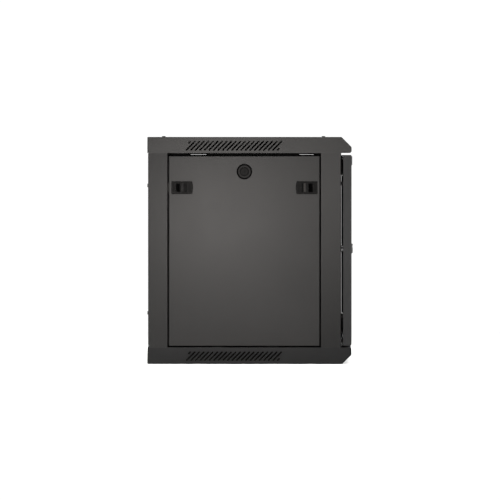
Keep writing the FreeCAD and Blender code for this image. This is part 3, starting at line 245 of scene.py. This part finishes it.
def black_oxide(name, base, seed=0.0, bright=None):
    """Blackened or black coated steel, rubbed bright on its corners; bare bright metal further back than `bright`."""
    m = Tree(name)
    cloud = m.noise(90.0, 4.0, 0.6, seed=seed)
    grain = m.noise(1400.0, 2.0, 0.5, seed=seed + 1.0)
    c = m.mix(m.span(cloud, 0.3, 0.7, 0.0, 1.0), times(base, 0.8), times(base, 1.3))
    worn = m.math("MULTIPLY", m.edge(0.0006), m.span(cloud, 0.4, 0.65, 0.1, 0.8))
    c = m.mix(worn, c, (0.20, 0.20, 0.19))
    metal, r = m.span(worn, 0.0, 1.0, 0.15, 0.8), m.span(cloud, 0.3, 0.7, 0.34, 0.48)
    if bright:
        sep = m.new("ShaderNodeSeparateXYZ")
        m.link(m.co, sep.inputs[0])
        bare = m.span(sep.outputs["Y"], bright - 0.0003, bright, 0.0, 1.0)
        c = m.mix(bare, c, (0.13, 0.13, 0.13))
        metal = m.math("MAXIMUM", metal, bare)
        r = m.math("SUBTRACT", r, m.math("MULTIPLY", bare, 0.26))
    m.set(Base_Color=c, Metallic=metal, Roughness=r, Specular_IOR_Level=0.45)
    m.bump((grain, 0.00006, 0.25))
    return m.mat


def smoked_glass(name):
    """Grey tempered glass with faint smears and a slight roll wave; thin, so it dims and does not bend the view."""
    m = Tree(name)
    smear = m.noise(7.0, 4.0, 0.6, seed=4.0)
    wave = m.noise(5.0, 1.0, 0.4, seed=9.0)
    c = m.mix(m.span(smear, 0.3, 0.7, 0.0, 1.0), (0.010, 0.011, 0.011), (0.013, 0.014, 0.014))
    m.set(Base_Color=c, Roughness=m.span(smear, 0.42, 0.75, 0.02, 0.06), IOR=1.5, Specular_IOR_Level=0.5, Alpha=0.42)
    m.bump((wave, 0.00040, 0.04))
    return m.mat


def lock_face(name, outer, bezel, seed=0.0):
    """Panel lock: a near-black painted shade on the sunk ring round a satin bezel; the ring is told apart by its
    radius.
    """
    m = Tree(name)
    sep = m.new("ShaderNodeSeparateXYZ")
    m.link(m.co, sep.inputs[0])
    y = m.math("SUBTRACT", sep.outputs["Y"], 0.0112)
    z = m.math("SUBTRACT", sep.outputs["Z"], 0.4236)
    r = m.math("SQRT", m.math("ADD", m.math("MULTIPLY", y, y), m.math("MULTIPLY", z, z)))
    inner = m.span(r, 0.0136, 0.0139, 1.0, 0.0)
    # painted shade in the dark groove round the plug
    groove = m.math("MULTIPLY", m.span(r, 0.0081, 0.0085, 0.0, 1.0), m.span(r, 0.0098, 0.0100, 1.0, 0.0))
    grain = m.noise(1300.0, 2.0, 0.5, seed=seed)
    cloud = m.noise(120.0, 3.0, 0.6, seed=seed + 3.0)
    lathe = m.new("ShaderNodeTexNoise", noise_dimensions="1D")
    m.link(m.math("MULTIPLY", r, 9000.0), lathe.inputs["W"])
    lathe.inputs["Scale"].default_value = 1.0
    c1 = m.mix(m.span(cloud, 0.3, 0.7, 0.0, 1.0), times(outer, 0.8), times(outer, 1.2))
    c2 = m.mix(m.span(cloud, 0.3, 0.7, 0.0, 1.0), times(bezel, 0.9), times(bezel, 1.1))
    # the flat ring round the plug painted lighter than the plug: a painted highlight
    c2 = m.mix(m.span(r, 0.0098, 0.0100, 0.0, 1.0), c2, times(bezel, 1.75))
    c = m.mix(groove, m.mix(inner, c1, c2), times(outer, 1.5))
    m.set(Base_Color=c, Specular_IOR_Level=0.03,
          Roughness=m.math("ADD", m.span(grain, 0.3, 0.7, 0.72, 0.84), m.math("MULTIPLY", inner, -0.24)))
    m.bump((lathe.outputs["Fac"], 0.00003, 0.35), (grain, 0.00005, 0.25))
    return m.mat


def shade_in_rebate(m, x, y, z):
    """Painted shade down in the rebate round the side panel, and on the bend of the front post that turns into the
    door gap.
    """
    rebate = m.math("MULTIPLY", m.span(x, 0.2978, 0.2986, 1.0, 0.0),
                    m.math("MULTIPLY", m.span(y, 0.1805, 0.1807, 1.0, 0.0), m.span(y, -0.1578, -0.1576, 0.0, 1.0)))
    bend = m.math("MULTIPLY", m.span(x, 0.2950, 0.2965, 0.0, 1.0), m.span(y, -0.2006, -0.1999, 1.0, 0.0))
    return m.math("MAXIMUM", rebate, bend)


def shade_on_panel_sides(m, x, y, z):
    """Painted shade on the turned-in sides of the panel."""
    return m.span(x, 0.2978, 0.2985, 1.0, 0.0)


def shade_inside_lower_cover(m, x, y, z):
    """Painted shade on the stiffening ribs and walls inside the lower cover, behind its slots."""
    flat = m.math("MULTIPLY", m.span(y, -0.1850, -0.1840, 0.0, 1.0), m.span(y, 0.2230, 0.2235, 1.0, 0.0))
    side = m.math("MULTIPLY", m.span(x, 0.2976, 0.2984, 1.0, 0.0), m.span(x, 0.1970, 0.1980, 0.0, 1.0))
    return m.math("MULTIPLY", m.math("MULTIPLY", side, m.span(z, 0.0018, 0.0024, 0.0, 1.0)), flat)


def shade_on_stop_flange(m, x, y, z):
    """Painted shade on the stop that hangs behind the upper edge of the side panel."""
    return m.span(z, 0.4640, 0.4645, 1.0, 0.0)


# one powder paint throughout; the cover, lower cover, frame, front post and door copies are painted lighter or
# darker, and cooler, than the panel for how the light falls on each: painted light and shade
PAINT = (0.0145, 0.0143, 0.0140)
COOLER = (0.0140, 0.0142, 0.0144)
COVER = powder("cover_powder_coat", times(PAINT, 1.46), seed=1.0, shaded=shade_on_stop_flange)
LOWER = powder("lower_cover_powder_coat", times(COOLER, 0.77), spec=0.10, seed=5.0, shaded=shade_inside_lower_cover, reach=0.006)
FRAME = powder("frame_powder_coat", times(PAINT, 0.81), seed=2.0, shaded=shade_in_rebate)
FRONT = powder("front_post_powder_coat", times(PAINT, 1.36), seed=6.0, shaded=shade_in_rebate, foot=0.50)
PANEL = powder("panel_powder_coat", PAINT, seed=3.0, shaded=shade_on_panel_sides)
DOOR = powder("door_powder_coat", times(COOLER, 1.05), seed=4.0)
RAIL = zinc("zinc_plated_sheet", (0.48, 0.49, 0.50), 0.38, 1.0)
BOLT = zinc("zinc_plated_fasteners", (0.62, 0.62, 0.61), 0.30, 2.0, (700.0, 700.0, 700.0))
SCREW = black_oxide("black_screws", (0.012, 0.012, 0.012), 1.0)
HINGE = black_oxide("black_hinges", (0.009, 0.009, 0.009), 2.0)
GLASS = smoked_glass("smoked_safety_glass")
RUBBER = rubber("black_rubber", (0.003, 0.003, 0.003), 1.0)
LOCK = black_oxide("black_nickel_lock", (0.014, 0.014, 0.014), 3.0, bright=-0.2064)
CAM = zinc("black_zinc_lock_parts", (0.10, 0.10, 0.10), 0.42, 5.0, (600.0, 600.0, 600.0))
# the latches carry painted shade in their recesses and a painted highlight on one grip ridge
LATCH = plastic("latch_plastic", (0.0023, 0.0022, 0.0021), 0.58, 0.05, 1.0, inside=0.2983, ridge=-0.1214)
BADGE = plastic("badge_plastic", (0.040, 0.040, 0.041), 0.40, 0.4, 2.0)
PLOCK = lock_face("panel_lock_finish", (0.0003, 0.0003, 0.0003), (0.0066, 0.0064, 0.0062), 1.0)

FINISH = {
    COVER: ["top_cover", "top_cable_plate"],
    LOWER: ["bottom_cover", "bottom_cable_plate"],
    FRAME: ["left_rear_post", "right_rear_post", "rear_panel"],
    FRONT: ["left_front_post", "right_front_post"],
    PANEL: ["left_side_panel", "right_side_panel"],
    DOOR: ["door_frame"],
    RAIL: ["front_left_rail", "rear_left_rail", "front_right_rail", "rear_right_rail",
           "upper_left_beam", "lower_left_beam", "upper_right_beam", "lower_right_beam"],
    BOLT: ["rail_bolts", "rail_nuts", "earth_terminal"],
    SCREW: ["top_cover_screws", "top_cover_spacers", "rear_panel_screws", "cable_plate_screws", "beam_screws",
            "hinge_post_screws", "hinge_pins", "door_screws", "glass_clips"],
    HINGE: ["upper_hinge_post_leaf", "lower_hinge_post_leaf", "upper_hinge_door_leaf", "lower_hinge_door_leaf"],
    GLASS: ["door_glass"],
    RUBBER: ["glass_gasket", "door_bumpers", "left_panel_rest_pads", "right_panel_rest_pads"],
    LOCK: ["door_lock_housing", "door_lock_plug"],
    CAM: ["door_lock_nut", "door_lock_cam", "left_panel_lock_nut", "left_panel_lock_cam",
          "right_panel_lock_nut", "right_panel_lock_cam"],
    LATCH: ["left_latch_housings", "left_front_latch_slider", "left_rear_latch_slider",
            "right_latch_housings", "right_front_latch_slider", "right_rear_latch_slider"],
    BADGE: ["blank_badge"],
    PLOCK: ["left_panel_lock_housing", "left_panel_lock_plug", "right_panel_lock_housing", "right_panel_lock_plug"],
}
FINISH_OF = {node: finish for finish, names in FINISH.items() for node in names}
for name, obj in NODES.items():
    obj.data.materials.clear()
    obj.data.materials.append(FINISH_OF[name])

# ------------------------------------------------------------------ floor

mesh = bpy.data.meshes.new("floor")
R = 3.0
mesh.from_pydata([(-R, -R, 0), (R, -R, 0), (R, R, 0), (-R, R, 0)], [], [(0, 1, 2, 3)])
floor = bpy.data.objects.new("floor", mesh)
floor.location.z = -0.0002
scene.collection.objects.link(floor)
m = Tree("pale_floor")
m.set(Base_Color=m.mix(m.noise(3.0, 3.0, 0.5), (0.86, 0.86, 0.855), (0.88, 0.88, 0.875)), Roughness=0.9, Specular_IOR_Level=0.1)
# the floor runs out into the white of the studio, with no edge to be seen
away = m.new("ShaderNodeVectorMath", operation="LENGTH")
m.link(m.co, away.inputs[0])
glow = m.new("ShaderNodeEmission")
glow.inputs["Strength"].default_value = 1.05
fade = m.new("ShaderNodeMixShader")
m.link(m.span(away.outputs["Value"], 1.1, 2.2, 0.0, 1.0, True), fade.inputs[0])
m.link(m.bsdf.outputs[0], fade.inputs[1])
m.link(glow.outputs[0], fade.inputs[2])
m.link(fade.outputs[0], m.out.inputs["Surface"])
mesh.materials.append(m.mat)

# ------------------------------------------------------------------ light

world = bpy.data.worlds.new("studio")
scene.world = world
world.use_nodes = True
wt = world.node_tree
wt.nodes.clear()
wo = wt.nodes.new("ShaderNodeOutputWorld")
soft = wt.nodes.new("ShaderNodeBackground")
soft.inputs["Color"].default_value = (1.0, 1.0, 1.0, 1.0)
soft.inputs["Strength"].default_value = 0.22
white = wt.nodes.new("ShaderNodeBackground")
white.inputs["Color"].default_value = (1.0, 1.0, 1.0, 1.0)
white.inputs["Strength"].default_value = 1.05
path = wt.nodes.new("ShaderNodeLightPath")
both = wt.nodes.new("ShaderNodeMixShader")
wt.links.new(path.outputs["Is Camera Ray"], both.inputs[0])
wt.links.new(soft.outputs[0], both.inputs[1])
wt.links.new(white.outputs[0], both.inputs[2])
wt.links.new(both.outputs[0], wo.inputs["Surface"])


def area(name, at, to, size_x, size_y, watts, colour=(1.0, 1.0, 1.0)):
    data = bpy.data.lights.new(name, "AREA")
    data.shape = "RECTANGLE"
    data.size, data.size_y, data.energy = size_x, size_y, watts
    data.color = colour
    obj = bpy.data.objects.new(name, data)
    scene.collection.objects.link(obj)
    obj.location = at
    obj.rotation_euler = (Vector(to) - Vector(at)).to_track_quat("-Z", "Y").to_euler()
    obj.visible_camera = False
    return obj


area("overhead", (0.0, 0.0, 3.4), (0.0, 0.0, 0.0), 5.0, 5.0, 195.0)
area("left_soft", (-0.77, 0.085, 0.335), (-0.30, 0.085, 0.335), 0.20, 0.16, 3.95, (1.0, 0.955, 0.925))
area("left_front_soft", (-1.15, -0.55, 0.80), (-0.30, -0.19, 0.33), 0.30, 0.30, 0.24, (1.0, 0.965, 0.94)).data.spread = math.radians(32)
area("right_soft", (0.95, 0.03, 0.45), (0.30, 0.03, 0.38), 0.50, 0.45, 9.0)
area("front_soft", (-0.10, -1.25, 0.62), (0.0, -0.22, 0.30), 0.80, 0.60, 22.0)
area("rear_soft", (0.05, 1.15, 0.60), (0.0, 0.22, 0.30), 0.80, 0.60, 18.0)

# ------------------------------------------------------------------ camera

cam_data = bpy.data.cameras.new("camera")
cam_data.sensor_width = 36.0
cam_data.lens = 392.5
cam_data.clip_start = 0.1
cam_data.clip_end = 100.0
cam_data.dof.use_dof = False
cam = bpy.data.objects.new("camera", cam_data)
scene.collection.objects.link(cam)
cam.location = (-12.30, -0.118, 0.461)
cam.rotation_euler = (Vector((-0.30, -0.0012, 0.2511)) - Vector(cam.location)).to_track_quat("-Z", "Y").to_euler()
scene.camera = cam

scene.view_settings.view_transform = "Standard"
scene.view_settings.look = "None"
scene.view_settings.exposure = 0.0
scene.view_settings.gamma = 1.0


bpy.context.view_layer.update()
